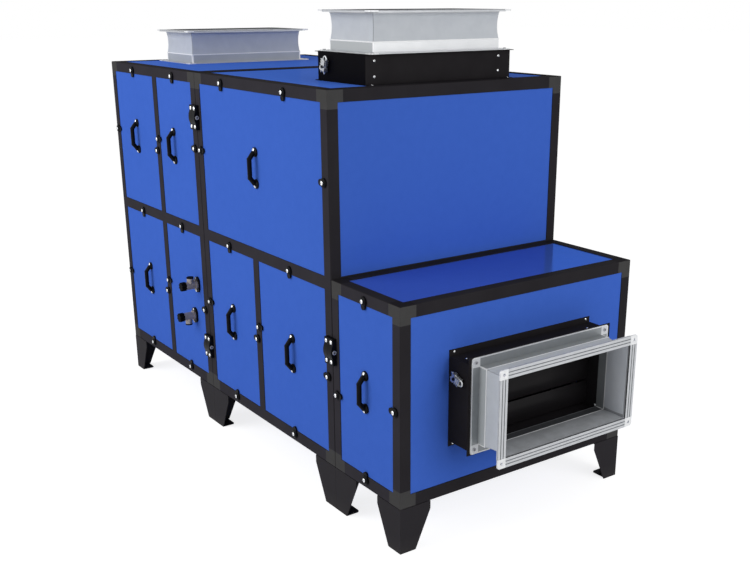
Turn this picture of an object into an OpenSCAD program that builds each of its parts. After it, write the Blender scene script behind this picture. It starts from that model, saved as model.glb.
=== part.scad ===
// Two-storey air handling unit on legs: two tall sections and one low end section,
// framed in extruded profiles with clip-in panels, with duct dampers and flexible connectors.
// X runs from the plain rear end to the low end, Y from the service side to the back.

/* [Casing] */
// Width from the service side to the back
body_w = 940; // [860:1:1100]
// Length of the rear two-storey section
rear_l = 808; // [720:1:950]
// Length of the middle two-storey section
mid_l = 902; // [820:1:1050]
// Length of the low end section
low_l = 365; // [330:1:480]
// Height of the legs
leg_h = 150; // [110:1:220]
// Height of the low section's casing, which also sets the mid rail
low_h = 636; // [560:1:720]
// Height of the two-storey sections' casing
tall_h = 1205; // [1140:1:1320]

/* [Frame] */
// Face width of the frame profile
profile = 38; // [34:1:46]
// Face height of the mid rail
mid_rail_h = 41; // [34:1:50]
// Face height of the bottom rail
base_rail_h = 43; // [38:1:50]
// Length of a corner block's legs
corner_leg = 57; // [54:1:80]
// Radius of the profile's outer edge
edge_r = 4; // [2:0.5:8]
// Reach of the lip that a panel rests on
lip_w = 12; // [8:1:15]
// Thickness of that lip
lip_t = 2.5; // [1.5:0.5:4]
// Gasket gap between two sections
seam_gap = 0.6; // [0.4:0.1:0.9]
// Centre of the rear section's mullion, from its rear end
rear_mullion = 439; // [380:1:480]
// Centre of the middle section's mullion, from its rear end
mid_mullion = 409; // [360:1:470]

/* [Panels] */
// Thickness of a panel
panel_t = 25; // [20:1:30]
// Depth of a panel's face behind the frame's face
panel_recess = 2; // [1:0.5:4]
// Clearance all round a panel
panel_gap = 0.5; // [0.3:0.1:0.9]

/* [Legs] */
// Width of a leg's plate along the unit, at the top
leg_top_w = 123; // [100:1:140]
// Width of that plate at the floor
leg_foot_w = 64; // [50:1:90]
// Width of a leg's plate across the unit, at the top
leg_side_top_w = 114; // [95:1:130]
// Width of that plate at the floor
leg_side_foot_w = 58; // [45:1:85]
// Length of the foot across the unit
foot_l = 51; // [40:1:70]
// Radius of the foot's free corner
foot_r = 10; // [4:1:16]
// Height of the straight part at the top of a leg
leg_straight = 26; // [15:1:40]
// Sheet thickness of a leg
leg_t = 3; // [2:0.5:5]

/* [Service fittings] */
// Distance between the two feet of a handle
handle_pitch = 106; // [96:1:130]
// Height that a handle stands off its panel
handle_reach = 32; // [26:1:45]
// Diameter of a latch's body
latch_d = 30; // [24:1:36]
// Height of a latch's body
latch_h = 11; // [8:1:16]
// Distance from a latch's pivot to the edge of its panel
latch_inset = 13; // [9:1:18]
// Reach of a latch's tongue from its pivot
latch_reach = 27; // [22:1:36]
// Width of a section clamp across the seam
clamp_w = 48; // [40:1:70]
// Height of a section clamp
clamp_h = 88; // [70:1:120]
// Depth of a section clamp at its barrel
clamp_d = 20; // [18:0.5:26]

/* [Coil connections] */
// Reach of the pipe ends from the frame's face
coil_reach = 71; // [64:1:100]
// Diameter of a pipe body
coil_d = 31; // [30:1:36]
// Diameter of a protective cap
cap_d = 35; // [32:1:39]
// Length of a protective cap
cap_l = 19.5; // [16:0.5:24]

/* [Ducts] */
// Width of the air way
duct_w = 500; // [420:1:560]
// Height of the air way
duct_h = 245; // [220:1:270]
// Distance of a top duct's centre from the section's end
duct_from_end = 203; // [195:1:230]
// Width of a duct flange
flange_w = 30; // [24:1:36]
// Thickness of a flange's face
flange_t = 3; // [2:0.5:5]
// Diameter of the holes in the flange corners
flange_hole_d = 9; // [6:0.5:12]
// Length of a flexible connector
connector_l = 127; // [100:1:180]
// Length of its sheet-metal collar
collar_l = 35; // [20:1:45]
// Depth of the ribbed outer flange
outer_flange_d = 10; // [8:1:16]
// Thickness of the fabric sleeve's wall
sleeve_t = 3; // [2:0.5:5]
// Depth that the sleeve is drawn in half way along
sleeve_sag = 4; // [3:0.5:10]

/* [Dampers] */
// Depth of a damper casing
damper_d = 92; // [88:1:120]
// Width of a damper casing with its drive chambers
damper_w = 581; // [560:1:620]
// Height of a damper casing
damper_h = 272; // [262:1:290]
// Height of its flanges
damper_flange_h = 310; // [296:1:320]
// Sheet thickness of a damper casing
damper_sheet = 2; // [1.5:0.5:3]
// Distance between two blades
blade_pitch = 82; // [80:0.5:86]
// Chord of a blade
blade_chord = 76; // [66:0.5:76]
// Thickness of a blade
blade_t = 14; // [13:0.5:18]
// Clearance at each end of a blade
blade_end_gap = 5; // [5:0.5:10]
// Diameter of a blade's shaft
shaft_d = 10; // [8:0.5:12]
// Running clearance round a shaft, on the radius
shaft_play = 0.05; // [0.03:0.01:0.09]
// Reach of the leading blade's spindle outside the casing
spindle_reach = 22; // [20:1:40]

/* [Hidden] */
$fn = 48;
eps = 1;

// finishes
frame_black = [0.16, 0.15, 0.15];
block_grey = [0.25, 0.24, 0.23];
panel_blue = [0.25, 0.40, 0.78];
sheet_black = [0.13, 0.13, 0.14];
galvanised = [0.70, 0.72, 0.74];
fabric_grey = [0.66, 0.69, 0.73];
nickel = [0.62, 0.58, 0.56];

// places along the unit and up it
x_seam_1 = rear_l;
x_seam_2 = rear_l + mid_l;
x_end = rear_l + mid_l + low_l;
top_z = leg_h + tall_h;
low_z = leg_h + low_h;
rail_z0 = low_z - profile;
rail_z1 = rail_z0 + mid_rail_h;
lower_z = [leg_h + base_rail_h, rail_z0];
upper_z = [rail_z1, top_z - profile];
end_duct_z = leg_h + low_h / 2;
mullion_1 = rear_mullion;
mullion_2 = x_seam_1 + mid_mullion;
seat = panel_recess + panel_t;

// section = [rear face, front face, top]
rear_section = [0, x_seam_1 - seam_gap / 2, top_z];
mid_section = [x_seam_1 + seam_gap / 2, x_seam_2 - seam_gap / 2, top_z];
low_section = [x_seam_2 + seam_gap / 2, x_end, low_z];
sections = [rear_section, mid_section, low_section];

// clear spans between posts and mullions, along X
rear_span = [rear_section[0] + profile, rear_section[1] - profile];
mid_span = [mid_section[0] + profile, mid_section[1] - profile];
low_span = [low_section[0] + profile, low_section[1] - profile];
rear_span_1 = [rear_span[0], mullion_1 - profile / 2];
rear_span_2 = [mullion_1 + profile / 2, rear_span[1]];
mid_span_1 = [mid_span[0], mullion_2 - profile / 2];
mid_span_2 = [mullion_2 + profile / 2, mid_span[1]];
cross_span = [profile, body_w - profile];

// the origin is under the middle of everything that the unit reaches
x_mid = (x_end - panel_recess + damper_d + connector_l) / 2;
y_mid = (body_w - coil_reach) / 2;

module place() { translate([-x_mid, -y_mid, 0]) children(); }
module mirrored_back() { translate([0, body_w, 0]) mirror([0, 1, 0]) children(); }

// a 2D section (u, v) carried along one axis: along X it lies in (y, z), along Y in (x, z)
module along_x(len) { rotate([90, 0, 90]) linear_extrude(len) children(); }
module along_y(len) { mirror([0, 1, 0]) rotate([90, 0, 0]) linear_extrude(len) children(); }

// Flat rectangle from the origin with the corner farthest from it rounded
module one_round_corner(u, v, r) {
    square([u, v - r]);
    square([u - r, v]);
    translate([u - r, v - r]) circle(r = r);
}

function middle(span) = (span[0] + span[1]) / 2;
function edge_arc(r, n = 4) = [for (i = [0:n]) [r - r * cos(90 * i / n), r - r * sin(90 * i / n)]];

// Frame profile: a square bar with its outer edge rounded and two lips that panels rest on
module profile_section(a, b) {
    polygon(concat(
        edge_arc(edge_r),
        [[a, 0], [a, seat], [a + lip_w, seat], [a + lip_w, seat + lip_t], [a, seat + lip_t], [a, b],
         [seat + lip_t, b], [seat + lip_t, b + lip_w], [seat, b + lip_w], [seat, b], [0, b]]));
}

module section_frame(s) {
    size_x = s[1] - s[0];
    size_z = s[2] - leg_h;
    translate([s[0], 0, leg_h])
        for (at_far = [0, 1], at_top = [0, 1]) {
            face_z = at_top == 1 ? profile : base_rail_h;
            // rails along the unit
            translate([corner_leg, at_far * body_w, at_top * size_z])
                mirror([0, at_far, 0]) mirror([0, 0, at_top])
                    along_x(size_x - 2 * corner_leg) profile_section(profile, face_z);
            // rails across the unit
            translate([at_far * size_x, corner_leg, at_top * size_z])
                mirror([at_far, 0, 0]) mirror([0, 0, at_top])
                    along_y(body_w - 2 * corner_leg) profile_section(profile, face_z);
            // posts
            translate([at_far * size_x, at_top * body_w, corner_leg])
                mirror([at_far, 0, 0]) mirror([0, at_top, 0])
                    linear_extrude(size_z - 2 * corner_leg) profile_section(profile, profile);
        }
}

module rear_section_frame() { color(frame_black) place() section_frame(rear_section); }
module mid_section_frame() { color(frame_black) place() section_frame(mid_section); }
module low_section_frame() { color(frame_black) place() section_frame(low_section); }

// Moulded corner: three short legs that the profiles plug onto, flush with their faces
module corner_block(face_z) {
    rounded = concat(edge_arc(edge_r), [[corner_leg, 0], [corner_leg, corner_leg], [0, corner_leg]]);
    intersection() {
        union() {
            cube([corner_leg, profile, face_z]);
            cube([profile, corner_leg, face_z]);
            cube([profile, profile, corner_leg]);
        }
        along_x(corner_leg) polygon(rounded);
        along_y(corner_leg) polygon(rounded);
        linear_extrude(corner_leg) polygon(rounded);
    }
}

module corner_blocks() {
    color(block_grey) place()
        for (s = sections, at_end = [0, 1], at_back = [0, 1], at_top = [0, 1])
            translate([s[at_end], at_back * body_w, at_top == 1 ? s[2] : leg_h])
                mirror([at_end, 0, 0]) mirror([0, at_back, 0]) mirror([0, 0, at_top])
                    corner_block(at_top == 1 ? profile : base_rail_h);
}

// Bar between two posts, along X, with a backing strip that stops short of their lips
module cross_bar(len, face) {
    cut_back = lip_w + panel_gap;
    cube([len, seat, face]);
    translate([cut_back, seat, -lip_w]) cube([len - 2 * cut_back, lip_t, face + 2 * lip_w]);
}

module side_rails() {
    for (span = [rear_span, mid_span])
        translate([span[0], 0, rail_z0]) cross_bar(span[1] - span[0], mid_rail_h);
}

module mid_rails() {
    len_y = cross_span[1] - cross_span[0];
    color(frame_black) place() {
        side_rails();
        mirrored_back() side_rails();
        translate([rear_section[0], cross_span[1], rail_z0]) rotate([0, 0, -90]) cross_bar(len_y, mid_rail_h);
        translate([mid_section[1], cross_span[0], rail_z0]) rotate([0, 0, 90]) cross_bar(len_y, mid_rail_h);
    }
}

// Upright bar centred on x, between the heights of span
module mullion(x, span) {
    translate([x + profile / 2, 0, span[0]]) rotate([0, -90, 0]) cross_bar(span[1] - span[0], profile);
}

module side_mullions() {
    mullion(mullion_1, upper_z);
    mullion(mullion_1, lower_z);
    mullion(mullion_2, lower_z);
}

module mullions() {
    color(frame_black) place() {
        side_mullions();
        mirrored_back() side_mullions();
    }
}

// Panel in the service side, with its clearance all round
module side_panel(span_x, span_z) {
    translate([span_x[0] + panel_gap, panel_recess, span_z[0] + panel_gap])
        cube([span_x[1] - span_x[0] - 2 * panel_gap, panel_t, span_z[1] - span_z[0] - 2 * panel_gap]);
}

// Panel across the unit, with its outer face at x, facing forwards
module front_panel(x, span_z) {
    translate([x - panel_recess - panel_t, cross_span[0] + panel_gap, span_z[0] + panel_gap])
        cube([panel_t, cross_span[1] - cross_span[0] - 2 * panel_gap, span_z[1] - span_z[0] - 2 * panel_gap]);
}

// Level panel between the side rails, with its lower face at z
module level_panel(span_x, z) {
    translate([span_x[0] + panel_gap, cross_span[0] + panel_gap, z])
        cube([span_x[1] - span_x[0] - 2 * panel_gap, cross_span[1] - cross_span[0] - 2 * panel_gap, panel_t]);
}

module upper_panel_rear() { color(panel_blue) place() side_panel(rear_span_1, upper_z); }
module upper_panel_centre() { color(panel_blue) place() side_panel(rear_span_2, upper_z); }
module upper_panel_mid() { color(panel_blue) place() side_panel(mid_span, upper_z); }
module lower_panel_rear() { color(panel_blue) place() side_panel(rear_span_1, lower_z); }
module lower_panel_mid_left() { color(panel_blue) place() side_panel(mid_span_1, lower_z); }
module lower_panel_mid_right() { color(panel_blue) place() side_panel(mid_span_2, lower_z); }
module lower_panel_end() { color(panel_blue) place() side_panel(low_span, lower_z); }

// The coil's two pipe ends come through this fixed panel: [x, z, way its branch points]
coil_inset = [49, 88];
coil_rise = [79, -55];
coil_places = [
    [rear_span_2[1] - coil_inset[0], middle(lower_z) + coil_rise[0], 1],
    [rear_span_2[1] - coil_inset[1], middle(lower_z) + coil_rise[1], -1]];
coil_hole_play = 2;

module coil_panel() {
    color(panel_blue) place()
        difference() {
            side_panel(rear_span_2, lower_z);
            for (p = coil_places)
                translate([p[0], -eps, p[1]]) along_y(seat + 2 * eps) circle(d = coil_d + 2 * coil_hole_play);
        }
}

module rear_end_panels() {
    color(panel_blue) place()
        for (span = [lower_z, upper_z]) mirror([1, 0, 0]) front_panel(0, span);
}

module step_panel() { color(panel_blue) place() front_panel(mid_section[1], upper_z); }

module end_panel() {
    color(panel_blue) place()
        difference() {
            front_panel(x_end, lower_z);
            at_end() air_way(-panel_t - eps, eps);
        }
}

module back_panels() {
    color(panel_blue) place() mirrored_back() {
        for (span = [rear_span_1, rear_span_2, mid_span]) side_panel(span, upper_z);
        for (span = [rear_span_1, rear_span_2, mid_span_1, mid_span_2, low_span]) side_panel(span, lower_z);
    }
}

module rear_top_panel() {
    color(panel_blue) place()
        difference() {
            level_panel(rear_span, top_z - seat);
            at_rear_top() air_way(-panel_t - eps, eps);
        }
}

module mid_top_panel() {
    color(panel_blue) place()
        difference() {
            level_panel(mid_span, top_z - seat);
            at_mid_top() air_way(-panel_t - eps, eps);
        }
}

module low_top_panel() { color(panel_blue) place() level_panel(low_span, low_z - seat); }

module floor_panels() {
    color(panel_blue) place()
        for (span = [rear_span, mid_span, low_span]) level_panel(span, leg_h + panel_recess);
}

// Folded sheet leg for one corner of a section: two tapered plates, a top flange and a foot
function leg_plate(foot_w, top_w) =
    [[0, 0], [foot_w, 0], [top_w, leg_h - leg_straight], [top_w, leg_h], [0, leg_h]];

module leg() {
    along_y(leg_t) polygon(leg_plate(leg_foot_w, leg_top_w));
    along_x(leg_t) polygon(leg_plate(leg_side_foot_w, leg_side_top_w));
    linear_extrude(leg_t) one_round_corner(leg_foot_w, foot_l, foot_r);
    translate([0, 0, leg_h - leg_t]) cube([profile, leg_side_top_w, leg_t]);
    translate([0, 0, leg_h - leg_t]) cube([leg_top_w, profile, leg_t]);
}

module legs() {
    color(sheet_black) place()
        for (s = sections, at_end = [0, 1], at_back = [0, 1])
            translate([s[at_end], at_back * body_w, 0])
                mirror([at_end, 0, 0]) mirror([0, at_back, 0]) leg();
}

// Bow handle, upright, its feet on the plane y = 0: a round grip, knuckled arms and domed feet
handle_bar_d = 16;
handle_knuckle_d = 17;
handle_bend = 38;
handle_foot_d = 32;
handle_foot_t = 4.5;
handle_dome_h = 5;
arm_clear = 0.5;

// Domed boss on the plane y = 0, rising along -Y, with a narrow land round its cap
dome_land = 0.4;

module dome(d, base, rise) {
    r = (pow(d / 2 - dome_land, 2) + pow(rise, 2)) / (2 * rise);
    rotate([90, 0, 0]) rotate_extrude() union() {
        square([d / 2, base]);
        intersection() {
            translate([0, base + rise - r]) circle(r = r, $fn = 96);
            translate([0, base / 2]) square([d / 2, base / 2 + rise]);
        }
    }
}

module bow_handle() {
    bar_y = handle_reach - handle_bar_d / 2;
    // the arms end inside the feet, clear of the panel
    arm_y = bar_y - handle_bar_d / 2 * cos(handle_bend) - arm_clear;
    half = handle_pitch / 2 - arm_y / tan(handle_bend);
    translate([0, -bar_y, -half]) cylinder(d = handle_bar_d, h = 2 * half);
    for (s = [0, 1]) mirror([0, 0, s]) {
        translate([0, -bar_y, half]) sphere(d = handle_knuckle_d);
        translate([0, -bar_y, half]) rotate([-handle_bend, 0, 0])
            cylinder(d = handle_bar_d, h = arm_y / sin(handle_bend));
        translate([0, 0, handle_pitch / 2]) dome(handle_foot_d, handle_foot_t, handle_dome_h);
    }
}

// handle = [x, z], raised and shifted from the middle of its panel
handle_rise = [16, 2];
handle_shift = [-22, -11, 24];
handle_up_z = middle(upper_z) + handle_rise[0];
handle_low_z = middle(lower_z) + handle_rise[1];
handle_places = [
    [middle(rear_span_1), handle_up_z],
    [middle(rear_span_2) + handle_shift[0], handle_up_z],
    [middle(mid_span) + handle_shift[1], handle_up_z],
    [middle(rear_span_1) + handle_shift[2], handle_low_z],
    [middle(mid_span_1), handle_low_z],
    [middle(mid_span_2), handle_low_z],
    [middle(low_span), handle_low_z]];

module panel_handles() {
    color(sheet_black) place()
        for (p = handle_places) translate([p[0], panel_recess, p[1]]) bow_handle();
}

// Swivel latch on the frame, its tongue reaching along +Z and a pad at its tip pressing on the panel
module latch() {
    tongue_w = latch_d * 2 / 3;
    tip = latch_reach - tongue_w / 2;
    pad_d = min(tongue_w / 2, latch_reach - latch_inset - 2 * pad_margin);
    tongue_t = latch_h * 0.45;
    dome(latch_d, latch_h / 2, latch_h / 2);
    translate([0, -tongue_t, 0]) along_y(tongue_t) union() {
        translate([-tongue_w / 2, 0]) square([tongue_w, tip]);
        translate([0, tip]) circle(d = tongue_w);
    }
    translate([0, -latch_h / 4, (latch_inset + latch_reach) / 2]) along_y(latch_h / 4 + panel_recess) circle(d = pad_d);
}

pad_margin = 2.5;
latch_rise = [28, -10];
latch_up_z = middle(upper_z) + latch_rise[0];
latch_low_z = middle(lower_z) + latch_rise[1];
latch_step = 47;

// Latch beside a panel's edge: at = [x, z] of the edge, turn = direction of the tongue
module edge_latch(at, turn) {
    translate([at[0], 0, at[1]]) rotate([0, turn, 0]) translate([0, 0, -latch_inset]) latch();
}

module panel_latches() {
    up = 0;
    right = 90;
    down = 180;
    left = 270;
    color(sheet_black) place() {
        for (span = [rear_span_1, rear_span_2, mid_span_1, mid_span_2])
            edge_latch([middle(span), upper_z[1]], down);
        for (span = [rear_span_1, rear_span_2, mid_span_1, mid_span_2, low_span]) {
            edge_latch([middle(span), lower_z[1]], down);
            edge_latch([middle(span), lower_z[0]], up);
        }
        // upright edges: [x of the edge, direction, step up or down]
        for (e = [[rear_span_1[0], right, 0], [rear_span_1[1], left, -1], [rear_span_2[0], right, 0],
                  [rear_span_2[1], left, 0], [mid_span[0], right, 0], [mid_span[1], left, 0]])
            edge_latch([e[0], latch_up_z + e[2] * latch_step], e[1]);
        for (e = [[rear_span_1[0], right, 0], [rear_span_1[1], left, 0], [rear_span_2[0], right, 1],
                  [rear_span_2[1], left, 0], [mid_span_1[0], right, 1], [mid_span_1[1], left, 0],
                  [mid_span_2[0], right, 1], [mid_span_2[1], left, 0], [low_span[0], right, -1],
                  [low_span[1], left, 0]])
            edge_latch([e[0], latch_low_z + e[2] * latch_step], e[1]);
    }
}

// Section clamp: a block on each side of the seam with two flat ears, and a barrel that holds a tie bolt along X
clamp_ear_d = 14.5;
clamp_barrel_h = 48;
clamp_rise = [144, -148, 86];
clamp_places = [
    [x_seam_1, middle(upper_z) + clamp_rise[0]],
    [x_seam_1, middle(lower_z) + clamp_rise[1]],
    [x_seam_2, middle(lower_z) + clamp_rise[2]]];

module clamp_half() {
    bulge = clamp_d - clamp_ear_d;
    r = (pow(clamp_barrel_h / 2, 2) + pow(bulge, 2)) / (2 * bulge);
    translate([seam_gap / 2, 0, 0]) along_x((clamp_w - seam_gap) / 2) union() {
        translate([-clamp_ear_d, -clamp_h / 2]) square([clamp_ear_d, clamp_h]);
        intersection() {
            translate([r - clamp_d, 0]) circle(r = r, $fn = 180);
            translate([-clamp_d, -clamp_barrel_h / 2]) square([clamp_d, clamp_barrel_h]);
        }
    }
}

module section_clamps() {
    color(sheet_black) place()
        for (p = clamp_places, side = [0, 1])
            translate([p[0], 0, p[1]]) mirror([side, 0, 0]) clamp_half();
}

// Coil pipe ends: oval flange on the panel, pipe with a hub and a branch, and black protective caps
coil_flange_h = 62;
coil_flange_w = 40;
coil_flange_t = 8;
coil_fit = 0.3;
hub_d = 38;
hub_l = 7;
branch_d = 26;
branch_reach = 29;
branch_y = -30;
branch_cap_d = 27;
branch_cap_l = 5;
cap_end_t = 6;
cap_wall = 1;
cap_notches = 8;
cap_notch_d = 7.5;
pipe_inside = 20;
// threaded end inside a cap
coil_end_d = cap_d - cap_notch_d - 2 * (cap_wall + coil_fit);

module at_coil(p) { translate([p[0], 0, p[1]]) children(); }

module coil_flanges() {
    color(nickel) place()
        for (p = coil_places) at_coil(p)
            translate([0, panel_recess - coil_flange_t, 0]) along_y(coil_flange_t) difference() {
                union() {
                    square([coil_flange_w, coil_flange_h - coil_flange_w], center = true);
                    for (s = [-1, 1])
                        translate([0, s * (coil_flange_h - coil_flange_w) / 2]) circle(d = coil_flange_w);
                }
                circle(d = coil_d + 2 * coil_fit);
            }
}

module coil_pipe_ends() {
    end_y = -coil_reach + cap_end_t + coil_fit;
    body_y = -coil_reach + cap_l;
    color(nickel) place()
        for (p = coil_places) at_coil(p) {
            translate([0, end_y, 0]) along_y(-end_y) circle(d = coil_end_d);
            translate([0, body_y, 0]) along_y(seat + pipe_inside - body_y) circle(d = coil_d);
            translate([0, panel_recess - coil_flange_t - hub_l, 0]) along_y(hub_l) circle(d = hub_d);
            translate([0, branch_y, 0]) rotate([p[2] > 0 ? 0 : 180, 0, 0])
                cylinder(d = branch_d, h = branch_reach);
        }
}

module coil_caps() {
    color(sheet_black) place()
        for (p = coil_places) at_coil(p) {
            translate([0, -coil_reach, 0]) difference() {
                along_y(cap_l) difference() {
                    circle(d = cap_d);
                    for (i = [0:cap_notches - 1])
                        rotate(360 / cap_notches * i) translate([cap_d / 2, 0]) circle(d = cap_notch_d);
                }
                translate([0, cap_end_t, 0]) along_y(cap_l) circle(d = coil_end_d + 2 * coil_fit);
            }
            translate([0, branch_y, 0]) rotate([p[2] > 0 ? 0 : 180, 0, 0])
                translate([0, 0, branch_reach]) cylinder(d = branch_cap_d, h = branch_cap_l);
        }
}

// Duct frames: X out of the casing, Y across, Z up the opening
module at_end() { translate([x_end - panel_recess, body_w / 2, end_duct_z]) children(); }
module at_mid_top() {
    translate([x_seam_2 - duct_from_end, body_w / 2, top_z - panel_recess]) rotate([0, -90, 0]) children();
}
module at_rear_top() {
    translate([duct_from_end, body_w / 2, top_z - panel_recess]) rotate([0, -90, 0]) children();
}
module air_way(x0, x1) { translate([x0, -duct_w / 2, -duct_h / 2]) cube([x1 - x0, duct_w, duct_h]); }

// Damper: a flanged sheet casing with a drive chamber at each side, and three turning blades
chamber_plate = 3;
shaft_inside = 10;

module damper_casing() {
    inner_h = damper_h - 2 * damper_sheet;
    inner_d = damper_d - 2 * damper_sheet;
    chamber_y0 = duct_w / 2 + chamber_plate;
    chamber_w = damper_w / 2 - damper_sheet - chamber_y0;
    difference() {
        union() {
            translate([0, -damper_w / 2, -damper_h / 2]) cube([damper_d, damper_w, damper_h]);
            for (x = [0, damper_d - damper_sheet])
                translate([x, -damper_w / 2, -damper_flange_h / 2]) cube([damper_sheet, damper_w, damper_flange_h]);
        }
        air_way(-eps, damper_d + eps);
        translate([damper_sheet, -duct_w / 2, -inner_h / 2]) cube([inner_d, duct_w, inner_h]);
        for (side = [0, 1]) mirror([0, side, 0])
            translate([damper_sheet, chamber_y0, -inner_h / 2]) cube([inner_d, chamber_w, inner_h]);
        for (k = [-1, 0, 1]) {
            reach = (k == 1 ? damper_w / 2 : chamber_y0) + eps;
            translate([damper_d / 2, -reach, k * blade_pitch])
                along_y(reach + chamber_y0 + eps) circle(d = shaft_d + 2 * shaft_play);
        }
    }
}

// Blade: a lens section on its shaft, closed when it stands in the casing's mid plane
module blade(k) {
    len = duct_w - 2 * blade_end_gap;
    shaft_y = duct_w / 2 + chamber_plate + shaft_inside;
    spindle_y = k == 1 ? damper_w / 2 + spindle_reach : shaft_y;
    lens_r = (pow(blade_chord / 2, 2) + pow(blade_t / 2, 2)) / blade_t;
    translate([damper_d / 2, 0, k * blade_pitch]) {
        translate([0, -len / 2, 0]) along_y(len) intersection_for(s = [-1, 1])
            translate([s * (lens_r - blade_t / 2), 0]) circle(r = lens_r, $fn = 180);
        translate([0, -spindle_y, 0]) along_y(spindle_y + shaft_y) circle(d = shaft_d);
    }
}

// Spindle clamp: a long U-bolt over the leading blade's spindle, with a ribbed jaw inside its loop
// and a saddle that two nuts draw against the spindle
saddle_l = 28;
saddle_w = 14;
saddle_t = 12;
jaw_l = 24;
jaw_ribs = [8, 15, 22];
rib_l = 24;
rib_t = 3;
rib_rise = 1.5;
u_rod = 5;
u_gap = 1.5;
u_loop = 36;
u_end = 21;
u_turn = 20;
nut_d = 10;
nut_h = 4;
clamp_gap = 5;

module spindle_clamp() {
    grip_r = shaft_d / 2 + shaft_play;
    u_r = grip_r + u_gap + u_rod / 2;
    loop_x = u_loop - u_r - u_rod / 2;
    translate([damper_d / 2, -damper_w / 2 - clamp_gap - saddle_w / 2, blade_pitch]) rotate([0, u_turn, 0]) difference() {
        union() {
            translate([loop_x, 0, 0]) rotate([90, 0, 0]) rotate([0, 0, -90]) rotate_extrude(angle = 180)
                translate([u_r, 0]) circle(d = u_rod);
            for (s = [-1, 1]) translate([loop_x, 0, s * u_r]) rotate([0, -90, 0]) {
                cylinder(d = u_rod, h = loop_x + u_end);
                translate([0, 0, loop_x + saddle_t]) cylinder(d = nut_d, h = nut_h, $fn = 6);
            }
            translate([-saddle_t, -saddle_w / 2, -saddle_l / 2]) cube([saddle_t, saddle_w, saddle_l]);
            translate([-eps, -saddle_w / 2, -u_r]) cube([jaw_l + eps, saddle_w, 2 * u_r]);
            for (x = jaw_ribs) translate([x - rib_t / 2, -saddle_w / 2 - rib_rise, -rib_l / 2])
                cube([rib_t, saddle_w + rib_rise, rib_l]);
        }
        translate([0, -saddle_w, 0]) along_y(2 * saddle_w) circle(r = grip_r);
    }
}

module end_damper_casing() { color(sheet_black) place() at_end() damper_casing(); }
module end_damper_blade_upper() { color(sheet_black) place() at_end() blade(1); }
module end_damper_blade_centre() { color(sheet_black) place() at_end() blade(0); }
module end_damper_blade_lower() { color(sheet_black) place() at_end() blade(-1); }
module end_damper_clamp() { color(galvanised) place() at_end() spindle_clamp(); }
module top_damper_casing() { color(sheet_black) place() at_mid_top() damper_casing(); }
module top_damper_blade_rear() { color(sheet_black) place() at_mid_top() blade(1); }
module top_damper_blade_centre() { color(sheet_black) place() at_mid_top() blade(0); }
module top_damper_blade_front() { color(sheet_black) place() at_mid_top() blade(-1); }
module top_damper_clamp() { color(galvanised) place() at_mid_top() spindle_clamp(); }

// Flexible connector: plain flange, sheet collar, fabric sleeve and ribbed outer flange
bar_gap = 0.3;
neck_t = 2.5;
groove_w = 3;
groove_d = 1.5;
collar_t = 1.5;
flange_corner_r = 8;
outer_corner_t = 5;

// Four bars round the air way, each a section of (x, distance out from the air way)
module flange_bars() {
    for (side = [0, 1]) {
        mirror([0, 0, side]) translate([0, -duct_w / 2, duct_h / 2]) along_y(duct_w) children();
        mirror([0, side, 0]) translate([0, duct_w / 2, -duct_h / 2 + bar_gap])
            linear_extrude(duct_h - 2 * bar_gap) children();
    }
}

// Rolled flange: a neck, a grooved face and a turned-back outer edge
module ribbed_section() {
    d = outer_flange_d;
    w = flange_w;
    grooves = [for (f = [2, 1], e = [[0, 1], [groove_d, 1], [groove_d, -1], [0, -1]])
        [d - e[0], w * f / 3 + e[1] * groove_w / 2]];
    polygon(concat(
        [[0, 0], [0, neck_t], [d - flange_t, neck_t], [d - flange_t, w - neck_t], [flange_t, w - neck_t],
         [flange_t, w], [d, w]], grooves, [[d, 0]]));
}

module flanges() {
    flange_bars() square([flange_t, flange_w]);
    translate([connector_l - outer_flange_d, 0, 0]) flange_bars() ribbed_section();
}

// Open tube round the air way between x0 and x1
module duct_tube(x0, x1, wall) {
    difference() {
        translate([x0, -duct_w / 2 - wall, -duct_h / 2 - wall])
            cube([x1 - x0, duct_w + 2 * wall, duct_h + 2 * wall]);
        air_way(x0 - eps, x1 + eps);
    }
}

module collar() { duct_tube(flange_t, collar_l, collar_t); }

// Block round the air way whose four sides are hollowed by arcs, as wide as `wall` allows at its ends
module waisted(x0, x1, wall) {
    half = (x1 - x0) / 2;
    r = (pow(half, 2) + pow(sleeve_sag, 2)) / (2 * sleeve_sag);
    intersection_for(turn = [0, 1]) {
        wide = (turn == 0 ? duct_h : duct_w) / 2 + wall;
        deep = (turn == 0 ? duct_w : duct_h) / 2 + wall;
        rotate([90 * turn, 0, 0]) translate([x0 + half, -deep, 0]) along_y(2 * deep) difference() {
            square([2 * half, 2 * wide], center = true);
            for (side = [-1, 1]) translate([0, side * (wide - sleeve_sag + r)]) circle(r = r, $fn = 360);
        }
    }
}

module sleeve() {
    x1 = connector_l - outer_flange_d;
    difference() {
        waisted(collar_l, x1, sleeve_t);
        waisted(collar_l - eps, x1 + eps, 0);
    }
}

// Corner plates that join the bars of both flanges; the outer ones are drilled for the duct's bolts
module corner_plate(x, t, drilled) {
    for (side_y = [0, 1], side_z = [0, 1])
        mirror([0, side_y, 0]) mirror([0, 0, side_z])
            translate([x, duct_w / 2, duct_h / 2]) rotate([90, 0, 90]) linear_extrude(t) difference() {
                one_round_corner(flange_w, flange_w, flange_corner_r);
                if (drilled) translate([flange_w / 2, flange_w / 2]) circle(d = flange_hole_d);
            }
}

module corner_plates() {
    corner_plate(0, flange_t, false);
    corner_plate(connector_l - outer_corner_t, outer_corner_t, true);
}

module at_connectors() {
    at_end() translate([damper_d, 0, 0]) children();
    at_mid_top() translate([damper_d, 0, 0]) children();
    at_rear_top() children();
}

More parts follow.
